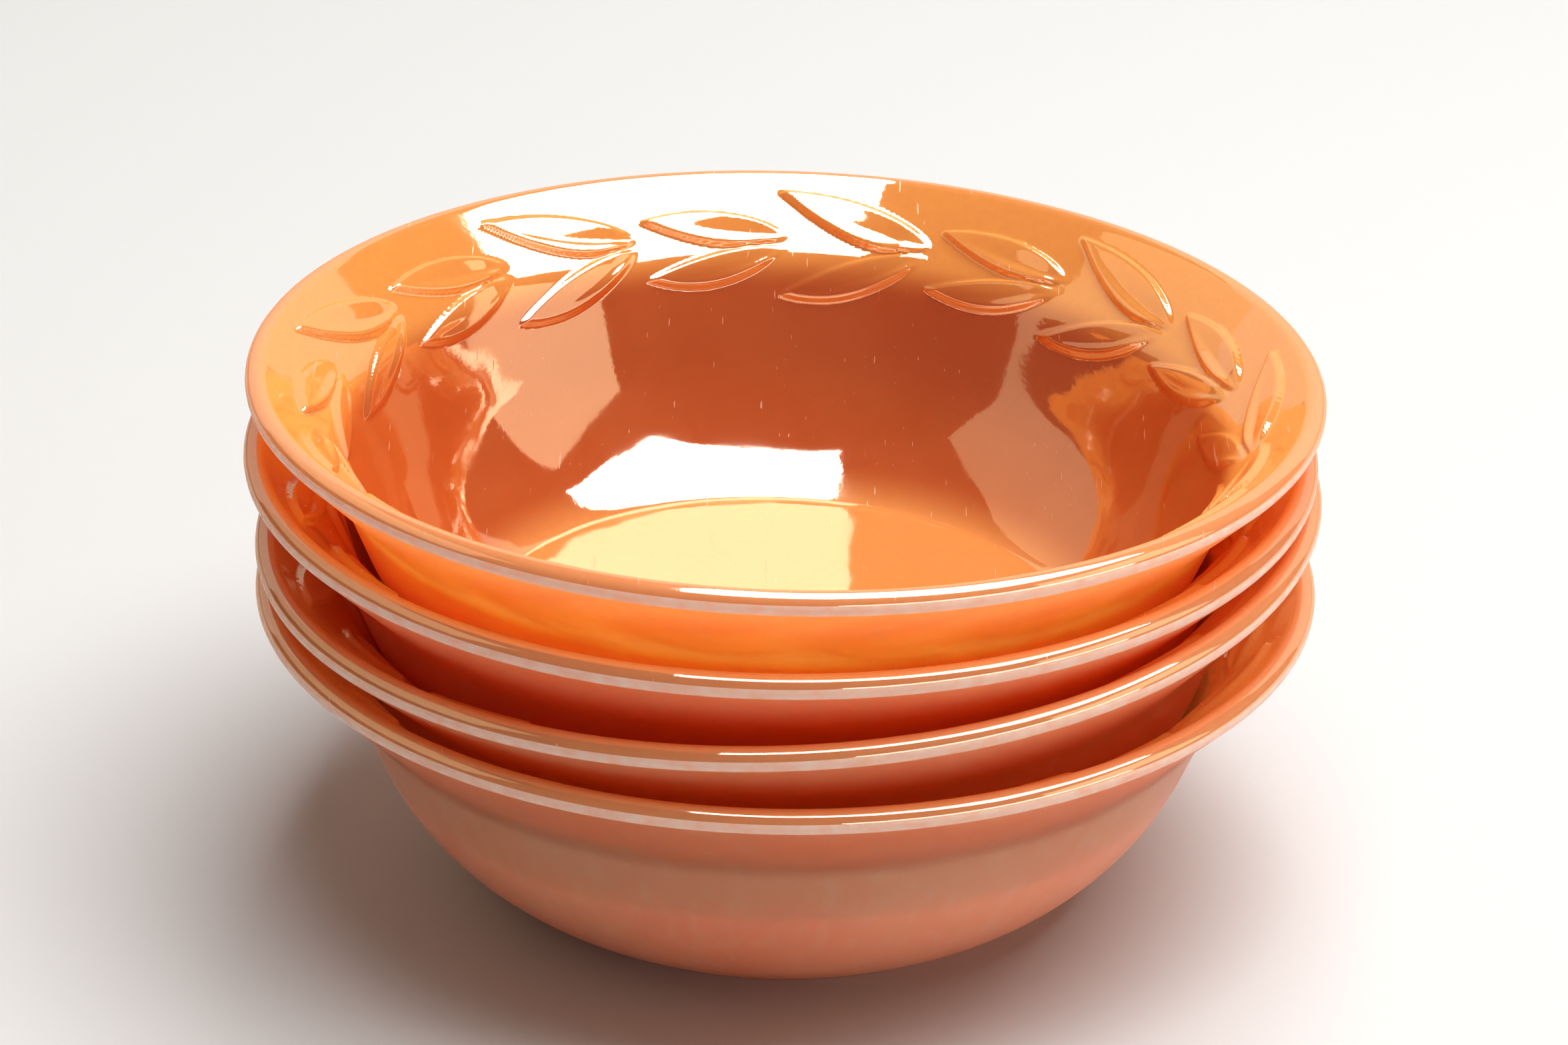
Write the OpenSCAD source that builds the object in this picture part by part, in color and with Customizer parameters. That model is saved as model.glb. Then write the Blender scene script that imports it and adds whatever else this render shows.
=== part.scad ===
// Set of four nested dessert bowls in pressed opal glass with a peach lustre.
// Each bowl has a low foot ring, a round wall, a flared rim with a rolled lip,
// and a wreath of leaves pressed in relief on the inside of the flare.
// Millimetres, +Z up. The origin is on the table, at the centre of the bottom bowl's foot.

/* [Bowl] */
// Diameter of the bowl across the outside of its lip
rim_d = 123.8; // [120:0.2:128]
// Height of the centre of the lip's round edge above the table
lip_z = 36.4; // [36:0.1:38]
// Radius of the lip's round edge, which is half the flare's thickness
lip_r = 1.4; // [1.2:0.1:1.6]
// Slope of the flare above the horizontal, in degrees
flare_slope = 45; // [43:1:47]
// Radius of the bend between wall and flare, on the outside
bend_r = 12; // [8:1:14]
// Radius of the same bend on the inside
inner_bend_r = 8; // [5:1:10]
// Lean of the wall's upper stretch from the vertical, in degrees
wall_lean = 22; // [20:1:24]
// Radius of the wall's round lower stretch, on the outside
wall_r = 33; // [32:0.5:34]
// Distance of that round stretch's centre from the bowl's axis
wall_centre_r = 18.2; // [17.6:0.1:18.8]
// Height of that round stretch's centre above the table
wall_centre_z = 29.9; // [29:0.1:31]
// Thickness of the glass in the wall
wall_t = 2; // [1.8:0.1:2.4]
// Height of the flat floor inside the bowl
floor_z = 4; // [3.6:0.1:5]

/* [Foot ring] */
// Outer diameter of the foot ring
foot_d = 66; // [62:1:67]
// Width of the foot ring's flat face
foot_w = 2.2; // [1.6:0.1:3]
// Height of the foot ring, which is also the depth of the hollow inside it
foot_h = 1.1; // [0.8:0.1:1.6]

/* [Leaf wreath] */
// Number of wide pairs of leaves round the wreath, with a narrow pair after each
leaf_pairs = 9; // [6:1:9]
// Height of the leaves above the flare
leaf_relief = 0.7; // [0.4:0.1:0.9]
// Width of a leaf
leaf_w = 5.4; // [4:0.1:6]

/* [Stack] */
// Height of each bowl's seat in the stack, bottom bowl first
lift = [0, 8.9, 16.9, 25.5]; // [0:0.1:60]
// Lean of each bowl about the X axis, in degrees
lean_x = [0, 1, 0.4, -0.65]; // [-3:0.05:3]
// Lean of each bowl about the Y axis, in degrees
lean_y = [0, -3, 0.2, 0.95]; // [-3:0.05:3]
// Sideways seat of each bowl along X
shift_x = [0, 0.1, -0.7, -0.2]; // [-1:0.1:1]
// Sideways seat of each bowl along Y
shift_y = [0, -0.4, -0.6, -0.5]; // [-1:0.1:1]
// Turn of each bowl about its own axis, in degrees
turn = [12, 31, -8, 0]; // [-180:1:180]

/* [Hidden] */
$fn = 120;
arc_steps = 12;
lip_steps = 16;

wall_centre = [wall_centre_r, wall_centre_z];
lip = [rim_d / 2 - lip_r, lip_z];
flare_in = lip + lip_r * [-sin(flare_slope), cos(flare_slope)];
flare_out = lip - lip_r * [-sin(flare_slope), cos(flare_slope)];
leaf_step = 360 / leaf_pairs;

// How deep the leaves reach into the flare and how far their tops follow it down
leaf_root = 1;
leaf_top_end = 10.4;
leaf_ledge_r = 50.55;
leaf_ledge_z = 28.2;
leaf_foot_r = 49.35;
leaf_foot_z = 25.2;

// A leaf's length along the wreath, its angle to it, where it starts, in degrees
// round the wreath, and how far down the flare its middle lies
wide_upper = [21.4, 15.5, 30, 4.9];
wide_lower = [20.4, -19, 30, 12.2];
narrow_upper = [19.4, 7.5, 50, 6.8];
narrow_lower = [19, -11, 50, 11.1];

function along(angle) = [cos(angle), sin(angle)];

function arc(centre, radius, from, to, steps) =
    [for (i = [0:steps]) centre + radius * along(from + (to - from) * i / steps)];

// Where the line through p at angle a crosses the line through q at angle b
function crossing(p, a, q, b) =
    p + along(a) * ((q.x - p.x) * sin(b) - (q.y - p.y) * cos(b)) / sin(b - a);

// A bend of the given radius from direction a to direction b, to the right of the path
function bend(p, a, q, b, radius) =
    let (
        corner = crossing(p, a, q, b),
        start = corner - along(a) * radius * tan((a - b) / 2),
        centre = start + radius * along(a - 90)
    )
    arc(centre, radius, a + 90, b + 90, arc_steps);

// Angle on a round stretch of this radius at which it reaches height z
function angle_at(radius, z) = asin((z - wall_centre_z) / radius);

function backwards(path) = [for (i = [len(path) - 1:-1:0]) path[i]];

function wall_side(radius, from_z) =
    arc(wall_centre, radius, angle_at(radius, from_z), -wall_lean, arc_steps);

function flare_side(radius, bend_radius, flare_point) =
    bend(wall_centre + radius * along(-wall_lean), 90 - wall_lean, flare_point, flare_slope, bend_radius);

// A point on the inside of the flare, this far down from the lip and this far proud
function on_flare(down, proud) =
    flare_in - down * along(flare_slope) + proud * along(flare_slope + 90);

outline = concat(
    [[0, foot_h], [foot_d / 2 - foot_w - foot_h / 2, foot_h]],
    [[foot_d / 2 - foot_w, 0], [foot_d / 2, 0], [foot_d / 2 + 0.3, foot_h * 0.7]],
    wall_side(wall_r, foot_h),
    flare_side(wall_r, bend_r, flare_out),
    arc(lip, lip_r, flare_slope - 90, flare_slope + 90, lip_steps),
    backwards(flare_side(wall_r - wall_t, inner_bend_r, flare_in)),
    backwards(wall_side(wall_r - wall_t, floor_z)),
    [[0, floor_z]]
);

leaf_band = [
    on_flare(1, leaf_relief),
    on_flare(leaf_top_end, leaf_relief),
    [leaf_ledge_r, leaf_ledge_z],
    [leaf_foot_r, leaf_foot_z],
    [leaf_foot_r + leaf_root, leaf_foot_z - leaf_root],
    [leaf_ledge_r + leaf_root, leaf_ledge_z - leaf_root],
    on_flare(leaf_top_end, -leaf_root),
    on_flare(1, -leaf_root)
];

// A pointed leaf, standing through the flare: the overlap of two round discs
module leaf_prism(leaf, base) {
    length = leaf[0];
    middle = on_flare(leaf[3], 0);
    disc_r = (length * length / 4 + leaf_w * leaf_w / 4) / leaf_w;
    half_turn = length / 2 / middle.x * 180 / PI;
    rotate([0, 0, base + half_turn])
        translate([middle.x, 0, middle.y])
            rotate([0, -flare_slope, 0])
                rotate([0, 0, -leaf[1]])
                    intersection() {
                        translate([disc_r - leaf_w / 2, 0, -4]) cylinder(r = disc_r, h = 8);
                        translate([leaf_w / 2 - disc_r, 0, -4]) cylinder(r = disc_r, h = 8);
                    }
}

module wreath() {
    intersection() {
        rotate_extrude() polygon(leaf_band);
        union() {
            for (i = [0:leaf_pairs - 1], leaf = [wide_upper, wide_lower, narrow_upper, narrow_lower])
                leaf_prism(leaf, leaf[2] + i * leaf_step);
        }
    }
}

// One bowl, standing with its foot on the table
module bowl() {
    union() {
        rotate_extrude() polygon(outline);
        wreath();
    }
}

// Puts a bowl in its seat in the stack, leaning about the centre of its rim
module seated(i) {
    translate([shift_x[i], shift_y[i], lift[i] + lip_z])
        rotate([lean_x[i], lean_y[i], 0])
            rotate([0, 0, turn[i]])
                translate([0, 0, -lip_z]) children();
}

module bottom_bowl() {
    color([0.85, 0.52, 0.36]) seated(0) bowl();
}

module second_bowl() {
    color([0.80, 0.38, 0.18]) seated(1) bowl();
}

module third_bowl() {
    color([0.83, 0.40, 0.18]) seated(2) bowl();
}

module top_bowl() {
    color([0.95, 0.56, 0.28]) seated(3) bowl();
}

bottom_bowl();
second_bowl();
third_bowl();
top_bowl();
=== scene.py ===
"""Four nested dessert bowls in carnival glass: peach opalescent glass under a copper lustre.

Each bowl is one closed mesh, swept from the same profile as the CAD bowl, with the wreath of
leaves sculpted on the inside of its flare. Lengths below are in millimetres until the mesh is made.
"""

import math

import bpy
import numpy as np
from mathutils import Matrix, Quaternion, Vector


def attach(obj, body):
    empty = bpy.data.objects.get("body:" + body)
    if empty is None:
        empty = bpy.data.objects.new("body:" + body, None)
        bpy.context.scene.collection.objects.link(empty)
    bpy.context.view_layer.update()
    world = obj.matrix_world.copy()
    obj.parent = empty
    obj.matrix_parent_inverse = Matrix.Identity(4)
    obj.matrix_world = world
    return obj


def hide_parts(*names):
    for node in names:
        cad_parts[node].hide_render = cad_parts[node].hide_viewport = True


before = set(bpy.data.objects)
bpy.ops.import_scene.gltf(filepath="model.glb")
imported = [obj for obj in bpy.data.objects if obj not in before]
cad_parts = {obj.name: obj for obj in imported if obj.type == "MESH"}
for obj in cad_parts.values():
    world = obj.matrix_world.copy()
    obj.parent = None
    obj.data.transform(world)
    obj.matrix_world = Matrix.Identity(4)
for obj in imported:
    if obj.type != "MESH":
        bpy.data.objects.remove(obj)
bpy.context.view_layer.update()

MM = 0.001

# ---------------------------------------------------------------- the bowl's profile, z = 0 at its foot
LIP_Z, LIP_R, RIM_R = 36.4, 1.4, 61.9
FLARE_SLOPE = 45
BEND_R, INNER_BEND_R = 12, 8
WALL_LEAN, WALL_R, WALL_T = 22, 33, 2.0
WALL_CENTRE = np.array((18.2, 29.9))
FLOOR_Z, FLOOR_FILLET = 4.0, 3.0
FOOT_R, FOOT_W, FOOT_H, FOOT_EDGE = 33.0, 2.2, 1.1, 0.35

COARSE = 360  # columns round a bowl
PALE_BAND_END = 15  # the pale band, worn glass with a painted reflection of the floor, ends this far above the level, round the lip's edge
FINE = 1080  # columns in the band of leaves
BAND_ROWS = 66  # rows in it
BAND_END = 17.6  # how far down from the lip the band of leaves reaches


def along(angle):
    return np.array((math.cos(math.radians(angle)), math.sin(math.radians(angle))))


def arc(centre, radius, start, end, steps):
    return [np.asarray(centre) + radius * along(start + (end - start) * i / steps) for i in range(steps + 1)]


def line(a, b, steps):
    return [np.asarray(a) + (np.asarray(b) - np.asarray(a)) * i / steps for i in range(steps + 1)]


def crossing(p, a, q, b):
    """Where the line through p at angle a crosses the line through q at angle b."""
    cb, sb = along(b)
    return p + along(a) * (((q - p)[0] * sb - (q - p)[1] * cb) / math.sin(math.radians(b - a)))


LIP = np.array((RIM_R - LIP_R, LIP_Z))
FLARE_IN = LIP + LIP_R * along(FLARE_SLOPE + 90)
FLARE_OUT = LIP - LIP_R * along(FLARE_SLOPE + 90)


def bend(radius, bend_radius, flare_point, steps):
    """The bend between the wall's straight top and the flare, from the wall upwards."""
    a, b = 90 - WALL_LEAN, FLARE_SLOPE
    wall_top = WALL_CENTRE + radius * along(-WALL_LEAN)
    corner = crossing(wall_top, a, flare_point, b)
    start = corner - along(a) * bend_radius * math.tan(math.radians((a - b) / 2))
    return arc(start + bend_radius * along(a - 90), bend_radius, a + 90, b + 90, steps)


def outside():
    """From the middle of the underside, over the foot ring and up the wall to the lip."""
    e, inner = FOOT_EDGE, FOOT_R - FOOT_W
    at = math.degrees(math.asin((FOOT_H * 1.2 - WALL_CENTRE[1]) / WALL_R))
    rows = line((2, FOOT_H), (inner - 1.4, FOOT_H), 5)
    rows += arc((inner - 1.4, FOOT_H - 0.5), 0.5, 90, 45, 2)[1:]
    rows += arc((inner + e, e), e, 190, 270, 3)
    rows += arc((FOOT_R - e, e), e, 270, 350, 3)
    rows += arc(WALL_CENTRE, WALL_R, at, -WALL_LEAN, 14)
    rows += bend(WALL_R, BEND_R, FLARE_OUT, 5)
    rows += line(rows[-1], FLARE_OUT, 3)[1:]
    return rows


def inside():
    """From the lip's inner edge down the flare, the bend and the wall to the floor, as a dense line."""
    radius = WALL_R - WALL_T
    lean_end = WALL_CENTRE + radius * along(-WALL_LEAN)
    # The wall's round stretch meets the floor in a small fillet
    reach = radius - FLOOR_FILLET
    drop = FLOOR_Z + FLOOR_FILLET - WALL_CENTRE[1]
    foot = -math.degrees(math.asin(-drop / reach))
    fillet = WALL_CENTRE + reach * along(foot)
    path = line(FLARE_IN, bend(radius, INNER_BEND_R, FLARE_IN, 24)[-1], 40)
    path += bend(radius, INNER_BEND_R, FLARE_IN, 24)[::-1][1:]
    path += line(path[-1], lean_end, 10)[1:]
    path += arc(WALL_CENTRE, radius, -WALL_LEAN, foot, 60)[1:]
    path += arc(fillet, FLOOR_FILLET, foot, -90, 10)[1:]
    return np.array(path)


# ---------------------------------------------------------------- the wreath of leaves
# Nine times round the bowl: a wide pair of leaves, then a narrow pair. All the tips point the same
# way round. Degrees round the bowl, and millimetres down the flare from the lip.
PERIOD = 40.0
WREATH = [
    dict(start=30.0, span=21.4, base=7.8, tip=1.9, bow=1.0, width=5.6, vein=0.2, groove=0.42, edge=0.5),
    dict(start=30.0, span=21.5, base=9.0, tip=15.7, bow=1.0, width=4.9, vein=0.1, groove=0.34, edge=0.95),
    dict(start=49.5, span=20.3, base=8.0, tip=5.5, bow=0.3, width=4.8, vein=0.2, groove=0.40, edge=0.5),
    dict(start=49.5, span=21.0, base=9.5, tip=13.2, bow=1.1, width=4.4, vein=0.1, groove=0.32, edge=0.9),
]
UPPER_EDGE = 0.55  # width of a leaf's rolled upper edge
# The leaves' height above the flare at these distances down it from the lip
RELIEF_AT = (0, 1.0, 3.0, 6.0, 9.0, 11.0, 13.0, 17.6)
RELIEF = (0.3, 0.68, 0.72, 0.86, 0.84, 0.64, 0.50, 0.48)


def smooth(x):
    x = np.clip(x, 0, 1)
    return x * x * (3 - 2 * x)


def leaf_height(leaf, degrees, down):
    """Height of one leaf, as a share of the relief, at this angle and distance down the flare."""
    u = ((degrees - leaf["start"]) % PERIOD) / leaf["span"]
    on = (u > 0) & (u < 1)
    u = np.clip(u, 0, 1)
    spine = leaf["base"] + (leaf["tip"] - leaf["base"]) * u + 4 * leaf["bow"] * u * (1 - u)
    fullness = np.sin(math.pi * u**0.92) ** 0.82
    half = 0.5 * leaf["width"] * fullness + 1e-6
    across = (down - spine) / half  # -1 at the upper edge, 1 at the lower edge
    upper = (1 + across) * half / UPPER_EDGE
    lower = (1 - across) * half / leaf["edge"]
    body = np.sin(np.clip(upper, 0, 1) * math.pi / 2) * np.sin(np.clip(lower, 0, 1) * math.pi / 2)
    # The upper half falls to the vein, and the lower half climbs from it; both flatten at the tip
    fall = np.clip((across + 0.75) / (leaf["vein"] + 0.75), 0, 1)
    climb = 1 - smooth((across - leaf["vein"]) / 0.45)
    ends = smooth((1 - u) / 0.8) * smooth(u / 0.15)
    groove = np.where(across < leaf["vein"], fall, climb) * leaf["groove"] * ends
    return np.where(on, body * smooth(u / 0.22) * (1 - groove), 0)


def wreath_height(degrees, down):
    return np.max([leaf_height(leaf, degrees, down) for leaf in WREATH], axis=0)


# ---------------------------------------------------------------- one bowl's mesh
def ring(r, z, columns):
    t = np.arange(columns) * (2 * math.pi / columns)
    return np.stack((r * np.cos(t), r * np.sin(t), np.full(columns, z)), 1)


def build_bowl():
    """Vertices in millimetres, faces, and for each vertex its wear, with the lip's painted reflection, and
    its place on the profile.
    """
    path = inside()
    steps = np.r_[0, np.cumsum(np.hypot(*np.diff(path, axis=0).T))]
    tangent = np.gradient(path, steps, axis=0)
    tangent /= np.hypot(*tangent.T)[:, None]
    normal = np.stack((tangent[:, 1], -tangent[:, 0]), 1)

    def on_path(values, s):
        return np.array([np.interp(s, steps, values[:, k]) for k in (0, 1)]).T

    rings, wear_and_reflection, place = [], [], []

    def add(points, worn=0.0, where=0.0):
        rings.append(points)
        wear_and_reflection.append(np.full(len(points), worn))
        place.append(np.full(len(points), where))

    under = outside()
    add(np.array([[0, 0, FOOT_H]]), where=-80)
    for i, (r, z) in enumerate(under):
        worn = 1.0 if z < 0.12 or i == len(under) - 1 else 0.0
        columns = 180 if r < FOOT_R - FOOT_W - 2 else COARSE
        add(ring(r, z, columns), worn=worn, where=-80 + 75 * i / len(under))
    lip = arc(LIP, LIP_R, FLARE_SLOPE - 90, FLARE_SLOPE + 90, 12)[1:-1]
    for i, (r, z) in enumerate(lip):
        turned = FLARE_SLOPE - 90 + 15 * (i + 1)
        # The lip's lower band takes the frosted edge: worn glass and a painted reflection of the floor
        add(ring(r, z, COARSE), worn=1.0 if turned <= PALE_BAND_END else 0.0, where=(turned - 135) / 90)
    theta = np.arange(FINE) * (360 / FINE)
    for s in np.linspace(0, BAND_END, BAND_ROWS):
        height = wreath_height(theta, np.full(FINE, s))
        base, out = on_path(path, [s])[0], on_path(normal, [s])[0]
        lifted = base[None] + (height * np.interp(s, RELIEF_AT, RELIEF))[:, None] * out[None]
        t = np.radians(theta)
        points = np.stack((lifted[:, 0] * np.cos(t), lifted[:, 0] * np.sin(t), lifted[:, 1]), 1)
        add(points, where=s)
    for s in np.linspace(BAND_END, steps[-1], 22)[1:]:
        r, z = on_path(path, [s])[0]
        add(ring(r, z, COARSE), where=s)
    edge = path[-1][0]
    for r in (edge * 0.8, edge * 0.6, edge * 0.4, edge * 0.2, 2.0):
        add(ring(r, FLOOR_Z, 180), where=steps[-1] + edge - r)
    add(np.array([[0, 0, FLOOR_Z]]), where=steps[-1] + edge)

    faces, first = [], np.r_[0, np.cumsum([len(r) for r in rings])]
    for k in range(len(rings) - 1):
        a, b, na, nb = first[k], first[k + 1], len(rings[k]), len(rings[k + 1])
        if na == nb:
            i = np.arange(na)
            j = (i + 1) % na
            faces += np.stack((a + i, a + j, b + j, b + i), 1).tolist()
        elif na < nb:
            m = nb // na
            for i in range(na):
                for q in range(m):
                    faces.append([a + i, b + (i * m + q + 1) % nb, b + i * m + q])
                if na > 1:
                    faces.append([a + i, a + (i + 1) % na, b + (i * m + m) % nb])
        else:
            m = na // nb
            for i in range(nb):
                for q in range(m):
                    faces.append([b + i, a + i * m + q, a + (i * m + q + 1) % na])
                if nb > 1:
                    faces.append([b + i, a + (i * m + m) % na, b + (i + 1) % nb])
    return np.vstack(rings), faces, np.hstack(wear_and_reflection), np.hstack(place)


# ---------------------------------------------------------------- the stack
LIP_EDGE = -1.3  # the outer satin ends at this place on the profile, under the lip
# Each bowl's seat, as in the CAD source: height, lean about X and Y, shift along X and Y, turn
SEATS = {
    "bottom_bowl": (0.0, 0.0, 0.0, 0.0, 0.0, 12.0),
    "second_bowl": (8.9, 1.0, -3.0, 0.1, -0.4, 31.0),
    "third_bowl": (16.9, 0.4, 0.2, -0.7, -0.6, -8.0),
    "top_bowl": (25.5, -0.65, 0.95, -0.2, -0.5, 0.0),
}


def seat(lift, lean_x, lean_y, shift_x, shift_y, turn):
    """The seat as one matrix in millimetres: a bowl leans about the centre of its rim."""
    return (
        Matrix.Translation((shift_x, shift_y, lift + LIP_Z))
        @ Matrix.Rotation(math.radians(lean_y), 4, "Y")
        @ Matrix.Rotation(math.radians(lean_x), 4, "X")
        @ Matrix.Rotation(math.radians(turn), 4, "Z")
        @ Matrix.Translation((0, 0, -LIP_Z))
    )


def make_piece(name, points, faces, fields, finishes):
    mesh = bpy.data.meshes.new(name)
    matrix = np.array(seat(*SEATS[name]))
    placed = (points @ matrix[:3, :3].T + matrix[:3, 3]) * MM
    mesh.from_pydata(placed.tolist(), [], faces)
    mesh.update()
    mesh.polygons.foreach_set("use_smooth", np.ones(len(mesh.polygons), bool))
    for label, values in fields.items():
        if values.ndim == 2:
            layer = mesh.attributes.new(label, "FLOAT_VECTOR", "POINT")
            layer.data.foreach_set("vector", values.astype(np.float32).ravel())
        else:
            layer = mesh.attributes.new(label, "FLOAT", "POINT")
            layer.data.foreach_set("value", values.astype(np.float32))
    for finish in finishes:
        mesh.materials.append(finish)
    place = fields["place"]
    middle = np.array([np.mean(place[face]) for face in faces])
    worn = np.array([np.mean(fields["wear_and_reflection"][face]) > 0.9 for face in faces])
    # The finishes are the inner lustre, the outer satin and the frosted edge, which on the lip is worn glass
    # with a painted reflection of the floor, in that order
    finish_of = np.where(worn, 2, np.where(middle < LIP_EDGE, 1, 0))
    mesh.polygons.foreach_set("material_index", finish_of.astype(np.int32))
    piece = bpy.data.objects.new(name + "_glass", mesh)
    bpy.context.scene.collection.objects.link(piece)
    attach(piece, name)
    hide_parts(name)
    return piece


# ---------------------------------------------------------------- materials
def node(tree, kind, **settings):
    made = tree.nodes.new(kind)
    for key, value in settings.items():
        if key in made.inputs:
            made.inputs[key].default_value = value
        else:
            setattr(made, key, value)
    return made


def mapped(tree, value, low, high, to_low, to_high):
    """The value carried from low..high to to_low..to_high, and held at both ends."""
    made = node(tree, "ShaderNodeMapRange")
    for label, number in (("From Min", low), ("From Max", high), ("To Min", to_low), ("To Max", to_high)):
        made.inputs[label].default_value = number
    tree.links.new(value, made.inputs["Value"])
    return made.outputs["Result"]


def blend(tree, amount, first, second, kind="MIX"):
    """Two colours mixed by an amount; either may be a plain colour or a socket."""
    made = node(tree, "ShaderNodeMix", data_type="RGBA", blend_type=kind)
    colours = [i for i in made.inputs if i.type == "RGBA"]
    for socket, colour in zip(colours, (first, second)):
        if isinstance(colour, tuple):
            socket.default_value = (*colour, 1)
        else:
            tree.links.new(colour, socket)
    if isinstance(amount, float):
        made.inputs["Factor"].default_value = amount
    else:
        tree.links.new(amount, made.inputs["Factor"])
    return next(o for o in made.outputs if o.type == "RGBA")


def summed(tree, *values):
    total = values[0]
    for value in values[1:]:
        made = node(tree, "ShaderNodeMath", operation="ADD")
        tree.links.new(total, made.inputs[0])
        tree.links.new(value, made.inputs[1])
        total = made.outputs[0]
    return total


def grain(tree, scale, detail=2.0, stretch=(1, 1, 1), turn=(0, 0, 0)):
    """Noise in the bowl's own millimetres, drawn out along one direction if stretched."""
    local = node(tree, "ShaderNodeAttribute", attribute_name="local")
    place = node(tree, "ShaderNodeMapping")
    place.inputs["Rotation"].default_value = [math.radians(a) for a in turn]
    place.inputs["Scale"].default_value = stretch
    tree.links.new(local.outputs["Vector"], place.inputs["Vector"])
    made = node(tree, "ShaderNodeTexNoise", Scale=scale, Detail=detail)
    tree.links.new(place.outputs["Vector"], made.inputs["Vector"])
    return made.outputs["Fac"]


def scratches(tree, turn, rarity, width=2.6):
    """Fine hair scratches all running one way, 1 on a scratch and 0 off it."""
    return mapped(tree, grain(tree, 1.0, 1.0, (width, 0.07, 0.4), turn), rarity, rarity + 0.03, 0.0, 1.0)


def specks(tree, scale, size, share):
    """Small round specks, in this share of the cells of a grid of points."""
    local = node(tree, "ShaderNodeAttribute", attribute_name="local")
    cells = node(tree, "ShaderNodeTexVoronoi", Scale=scale)
    tree.links.new(local.outputs["Vector"], cells.inputs["Vector"])
    dots = mapped(tree, cells.outputs["Distance"], size, size * 0.5, 0.0, 1.0)
    chosen = node(tree, "ShaderNodeSeparateColor")
    tree.links.new(cells.outputs["Color"], chosen.inputs["Color"])
    kept = node(tree, "ShaderNodeMath", operation="LESS_THAN")
    tree.links.new(chosen.outputs["Red"], kept.inputs[0])
    kept.inputs[1].default_value = share
    both = node(tree, "ShaderNodeMath", operation="MULTIPLY")
    tree.links.new(dots, both.inputs[0])
    tree.links.new(kept.outputs[0], both.inputs[1])
    return both.outputs[0]


def bumped(tree, shader, height, distance):
    made = node(tree, "ShaderNodeBump", Strength=1.0, Distance=distance)
    tree.links.new(height, made.inputs["Height"])
    tree.links.new(made.outputs["Normal"], shader.inputs["Normal"])
    return made


GLASS_DEPTH = 0.0004  # how far light runs in the glass between turns, in metres
THIN_DEPTH = 0.025  # the same in the flare, which light passes right through


def glass(name, ior, tint, through, share, radius=None):
    """A glass shader, of which this share lets light through to the other side in a colour.

    The surfaces below fill in its base colour, roughness and bump. With a radius it also
    scatters light under its surface.
    """
    material = bpy.data.materials.new(name)
    material.use_nodes = True
    tree = material.node_tree
    tree.nodes.clear()
    shader = node(tree, "ShaderNodeBsdfPrincipled", IOR=ior)
    passing = node(tree, "ShaderNodeBsdfTranslucent", Color=(*through, 1))
    both = node(tree, "ShaderNodeMixShader", Fac=share)
    tree.links.new(shader.outputs[0], both.inputs[1])
    tree.links.new(passing.outputs[0], both.inputs[2])
    tree.links.new(both.outputs[0], node(tree, "ShaderNodeOutputMaterial").inputs[0])
    shader.inputs["Specular Tint"].default_value = (*tint, 1)
    if radius is not None:
        shader.inputs["Subsurface Weight"].default_value = 1.0
        shader.inputs["Subsurface Radius"].default_value = radius
        shader.inputs["Subsurface Scale"].default_value = GLASS_DEPTH
    return material, tree, shader


# Places on the profile between which the inner lustre's colours run: lip to the floor's middle
RAMP_START, RAMP_END = -1.4, 80.0
LIP_TONE = (1.0, 0.40, 0.16)
FLARE = (1.0, 0.43, 0.09)
# The wall's tone is painted shade: far darker than the flare and the floor, where the inner wall lies in
# shade
SHADED_WALL = (0.50, 0.10, 0.017)
FLOOR = (0.90, 0.38, 0.10)


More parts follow.
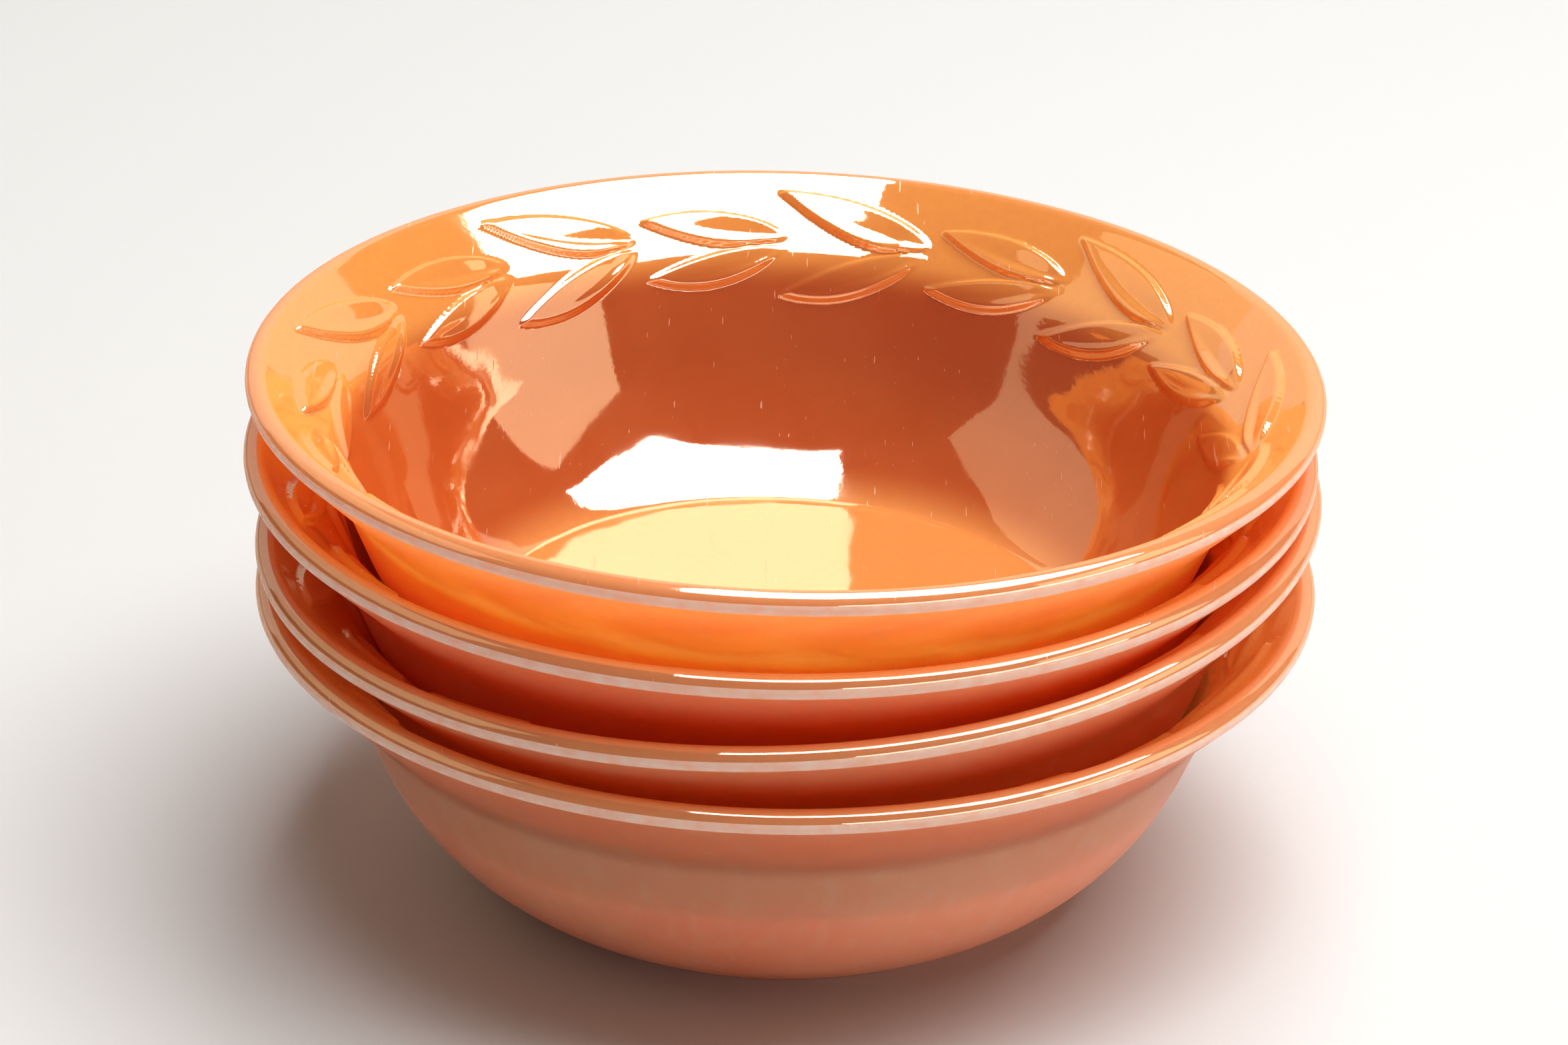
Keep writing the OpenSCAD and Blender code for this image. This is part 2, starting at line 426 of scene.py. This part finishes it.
def inner_lustre():
    """Copper lustre over peach glass: a coloured mirror with smudges, specks and hair scratches, and painted
    shade darkening its wall.
    """
    material, tree, shader = glass("inner_lustre", 4.4, (1.0, 0.90, 0.72), (1.0, 0.55, 0.22), 0.27)
    place = node(tree, "ShaderNodeAttribute", attribute_name="place").outputs["Fac"]
    zones = node(tree, "ShaderNodeValToRGB")
    zones.color_ramp.interpolation = "EASE"
    stops = [
        (RAMP_START, LIP_TONE),
        (-0.5, LIP_TONE),
        (0.0, FLARE),
        (10.0, FLARE),
        (15.0, SHADED_WALL),
        (36.0, SHADED_WALL),
        (43.0, FLOOR),
        (RAMP_END, FLOOR),
    ]
    while len(zones.color_ramp.elements) < len(stops):
        zones.color_ramp.elements.new(0.5)
    for element, (at, colour) in zip(zones.color_ramp.elements, stops):
        element.position = (at - RAMP_START) / (RAMP_END - RAMP_START)
        element.color = (*colour, 1)
    tree.links.new(mapped(tree, place, RAMP_START, RAMP_END, 0.0, 1.0), zones.inputs["Fac"])
    cloud = grain(tree, 0.07, 4.0)
    clouded = mapped(tree, cloud, 0.35, 0.65, 0.0, 0.12)
    colour = blend(tree, clouded, zones.outputs["Color"], (0.9, 0.34, 0.12))
    mottle = grain(tree, 0.9, 5.0)
    colour = blend(tree, mapped(tree, mottle, 0.35, 0.65, 0.0, 0.10), colour, (0.55, 0.16, 0.05))
    marks = summed(
        tree,
        scratches(tree, (0, 0, 10), 0.78),
        scratches(tree, (75, 20, 40), 0.77),
        scratches(tree, (35, 70, 100), 0.77),
        scratches(tree, (10, 25, 60), 0.78),
    )
    dust = specks(tree, 0.8, 0.14, 0.16)
    worn = mapped(tree, summed(tree, marks, dust), 0.0, 1.0, 0.0, 0.28)
    colour = blend(tree, worn, colour, (1.0, 0.62, 0.42))
    tree.links.new(colour, shader.inputs["Base Color"])
    smudge = mapped(tree, grain(tree, 0.12, 5.0), 0.4, 0.75, 0.035, 0.10)
    tree.links.new(summed(tree, smudge, mapped(tree, marks, 0.0, 1.0, 0.0, 0.3)), shader.inputs["Roughness"])
    ripple = summed(tree, grain(tree, 0.11, 1.0), mapped(tree, grain(tree, 1.5, 2.0), 0.0, 1.0, 0.0, 0.03))
    bumped(tree, shader, ripple, 0.00012)
    return material


# Light passes through the outside from here up to here on the profile: the bend and the flare
SOLID_BELOW, THIN_ABOVE = -25.0, -18.0


def outer_satin():
    """The outside: the same peach glass under a thinner, satin coat with faint streaks."""
    sheen, passed, scattered = (1.0, 0.95, 0.90), (1.0, 0.5, 0.2), (1.0, 0.6, 0.3)
    material, tree, shader = glass("outer_satin", 1.7, sheen, passed, 0.5, scattered)
    place = node(tree, "ShaderNodeAttribute", attribute_name="place").outputs["Fac"]
    depth = mapped(tree, place, SOLID_BELOW, THIN_ABOVE, GLASS_DEPTH, THIN_DEPTH)
    tree.links.new(depth, shader.inputs["Subsurface Scale"])
    mixer = next(n for n in tree.nodes if n.type == "MIX_SHADER")
    tree.links.new(mapped(tree, place, SOLID_BELOW, THIN_ABOVE, 0.1, 0.5), mixer.inputs["Fac"])
    cloud = grain(tree, 0.05, 4.0)
    colour = blend(tree, mapped(tree, cloud, 0.3, 0.7, 0.0, 1.0), (1.0, 0.28, 0.14), (1.0, 0.36, 0.20))
    streak = grain(tree, 0.5, 3.0, (1, 1, 0.12))
    colour = blend(tree, mapped(tree, streak, 0.5, 0.8, 0.0, 0.4), colour, (1.0, 0.5, 0.3))
    tree.links.new(colour, shader.inputs["Base Color"])
    tree.links.new(mapped(tree, grain(tree, 0.3, 4.0), 0.3, 0.7, 0.30, 0.42), shader.inputs["Roughness"])
    bumped(tree, shader, grain(tree, 2.2, 3.0), 0.00002)
    return material


def worn_edge_and_painted_reflection():
    """The pale band round the lip and the foot's face, where worn lustre lets the white glass show through;
    on the lip the pale colour is also a painted reflection of the floor.
    """
    sheen, passed, scattered = (1.0, 1.0, 1.0), (1.0, 0.6, 0.4), (1.0, 0.95, 0.9)
    material, tree, shader = glass("worn_edge_and_painted_reflection", 1.6, sheen, passed, 0.2, scattered)
    cloud = grain(tree, 0.6, 4.0)
    # Pale colour: worn glass, and on the lip a painted reflection of the floor
    colour = blend(tree, mapped(tree, cloud, 0.3, 0.7, 0.0, 1.0), (1.0, 0.56, 0.40), (1.0, 0.74, 0.62))
    tree.links.new(colour, shader.inputs["Base Color"])
    tree.links.new(mapped(tree, grain(tree, 1.5, 3.0), 0.3, 0.7, 0.35, 0.55), shader.inputs["Roughness"])
    bumped(tree, shader, grain(tree, 4.0, 3.0), 0.00003)
    return material


NOISE_STEP = 300.0  # millimetres of noise between one bowl's marks and the next one's
points, faces, wear_and_reflection, place = build_bowl()
finishes = [inner_lustre(), outer_satin(), worn_edge_and_painted_reflection()]
for number, name in enumerate(SEATS):
    # Each bowl takes its marks from its own part of the noise
    fields = {"local": points + NOISE_STEP * number, "wear_and_reflection": wear_and_reflection, "place": place}
    make_piece(name, points, faces, fields, finishes)


# ---------------------------------------------------------------- floor, light and camera
HEAT_SPREAD = 0.05  # how far a softbox's hot middle reaches, as a squared share of its side


def card(name, corners, material, cells=1, hottest=(0.5, 0.5)):
    """A flat four-cornered sheet of the studio, with how near each vertex is to its middle."""
    a, b, c, d = [np.array(corner, float) for corner in corners]
    u, v = np.meshgrid(np.linspace(0, 1, cells + 1), np.linspace(0, 1, cells + 1))
    u, v = u.ravel()[:, None], v.ravel()[:, None]
    spots = (a * (1 - u) + b * u) * (1 - v) + (d * (1 - u) + c * u) * v
    row = cells + 1
    faces = [
        (k, k + 1, k + row + 1, k + row) for i in range(cells) for k in range(i * row, i * row + cells)
    ]
    mesh = bpy.data.meshes.new(name)
    mesh.from_pydata(spots.tolist(), [], faces)
    heat = mesh.attributes.new("heat", "FLOAT", "POINT")
    off = (u - hottest[0]) ** 2 + (v - hottest[1]) ** 2
    nearness = np.exp(-off / HEAT_SPREAD).ravel()
    heat.data.foreach_set("value", nearness.astype(np.float32))
    mesh.materials.append(material)
    made = bpy.data.objects.new(name, mesh)
    bpy.context.scene.collection.objects.link(made)
    return made


def glow(name, corners, radiance, colour=(1, 1, 1), middle=None, hottest=(0.5, 0.5)):
    """A soft panel that gives light and shows in reflections, but not to the camera.

    Its radiance at the rim may rise to another in the middle, as a softbox's does.
    """
    made = card(name, corners, bpy.data.materials.new(name), 24, hottest)
    made.data.materials[0].use_nodes = True
    tree = made.data.materials[0].node_tree
    tree.nodes.clear()
    light = node(tree, "ShaderNodeEmission", Color=(*colour, 1), Strength=radiance)
    tree.links.new(light.outputs[0], node(tree, "ShaderNodeOutputMaterial").inputs[0])
    if middle is not None:
        heat = node(tree, "ShaderNodeAttribute", attribute_name="heat")
        rise = node(tree, "ShaderNodeMapRange")
        rise.inputs["To Min"].default_value = radiance
        rise.inputs["To Max"].default_value = middle
        tree.links.new(heat.outputs["Fac"], rise.inputs["Value"])
        tree.links.new(rise.outputs["Result"], light.inputs["Strength"])
    made.visible_camera = False
    return made


def toward(azimuth, elevation, distance):
    """A point seen from the stack: azimuth 0 is the camera's side, 90 is +X."""
    a, e = math.radians(azimuth), math.radians(elevation)
    return Vector((math.sin(a) * math.cos(e), -math.cos(a) * math.cos(e), math.sin(e))) * distance + STACK


STACK = Vector((0, 0, 0.045))  # the middle of the stack
# The main softbox lies flat over the stack, its corners as slopes away from straight up
KEY_HEIGHT = 1.1
KEY = [(-0.236, -0.426), (0.721, -0.487), (0.94, 0.21), (-0.03, 0.70)]
# The other panels' corners as azimuth and elevation
RIGHT = [(52, 8), (95, 8), (95, 40), (54, 27)]
LEFT = [(-66, 15), (-132, 14), (-145, 42), (-62, 43)]
LOW = [(12, 1.5), (72, 1.5), (72, 9), (12, 9)]
BACK = [(-2.5, 2.2, 0.1), (2.5, 2.2, 0.1), (2.5, 2.2, 2.2), (-2.5, 2.2, 2.2)]
SIDE_DISTANCE, LOW_DISTANCE = 1.5, 1.6


def around(corners, distance):
    return [toward(azimuth, elevation, distance) for azimuth, elevation in corners]


paper = bpy.data.materials.new("paper")
paper.use_nodes = True
sheet = paper.node_tree.nodes["Principled BSDF"]
sheet.inputs["Base Color"].default_value = (0.54, 0.54, 0.535, 1)
sheet.inputs["Roughness"].default_value = 0.7
card("floor", [(-3, -1.2, 0), (3, -1.2, 0), (3, 3, 0), (-3, 3, 0)], paper)
overhead = [Vector((x, y, 1)) * KEY_HEIGHT + STACK for x, y in KEY]
glow("key_panel", overhead, 8.2, middle=236.0, hottest=(0.36, 0.38))
glow("right_panel", around(RIGHT, SIDE_DISTANCE), 1.3, (1, 0.85, 0.6))
glow("left_panel", around(LEFT, SIDE_DISTANCE), 0.6, (1, 0.84, 0.58))
glow("low_fill", around(LOW, LOW_DISTANCE), 4.2, (1, 0.93, 0.9))
glow("back_panel", BACK, 0.7, (1, 0.92, 0.82))
world = bpy.data.worlds.new("studio")
bpy.context.scene.world = world
world.use_nodes = True
world.node_tree.nodes["Background"].inputs["Color"].default_value = (1.0, 0.95, 0.9, 1)
world.node_tree.nodes["Background"].inputs["Strength"].default_value = 0.05

# The photograph's viewing angle
CAMERA_AT = (0.0, -0.4910, 0.2801)
LOOK_DOWN, LOOK_ASIDE, ROLL = 25.84, -0.03, 0.78
SENSOR, LENS = 36.0, 107.14
look = Vector((
    math.sin(math.radians(LOOK_ASIDE)) * math.cos(math.radians(LOOK_DOWN)),
    math.cos(math.radians(LOOK_ASIDE)) * math.cos(math.radians(LOOK_DOWN)),
    -math.sin(math.radians(LOOK_DOWN)),
))
lens = bpy.data.cameras.new("camera")
lens.sensor_width, lens.lens = SENSOR, LENS
lens.clip_start, lens.clip_end = 0.01, 50
camera = bpy.data.objects.new("camera", lens)
camera.location = CAMERA_AT
camera.rotation_mode = "QUATERNION"
camera.rotation_quaternion = look.to_track_quat("-Z", "Y") @ Quaternion((0, 0, 1), math.radians(ROLL))
bpy.context.scene.collection.objects.link(camera)
bpy.context.scene.camera = camera
bpy.context.scene.view_settings.view_transform = "Standard"
# Light reaches the gaps between the bowls only after many bounces
light_paths = bpy.context.scene.cycles
light_paths.max_bounces = 24
light_paths.diffuse_bounces = 12
light_paths.glossy_bounces = 8
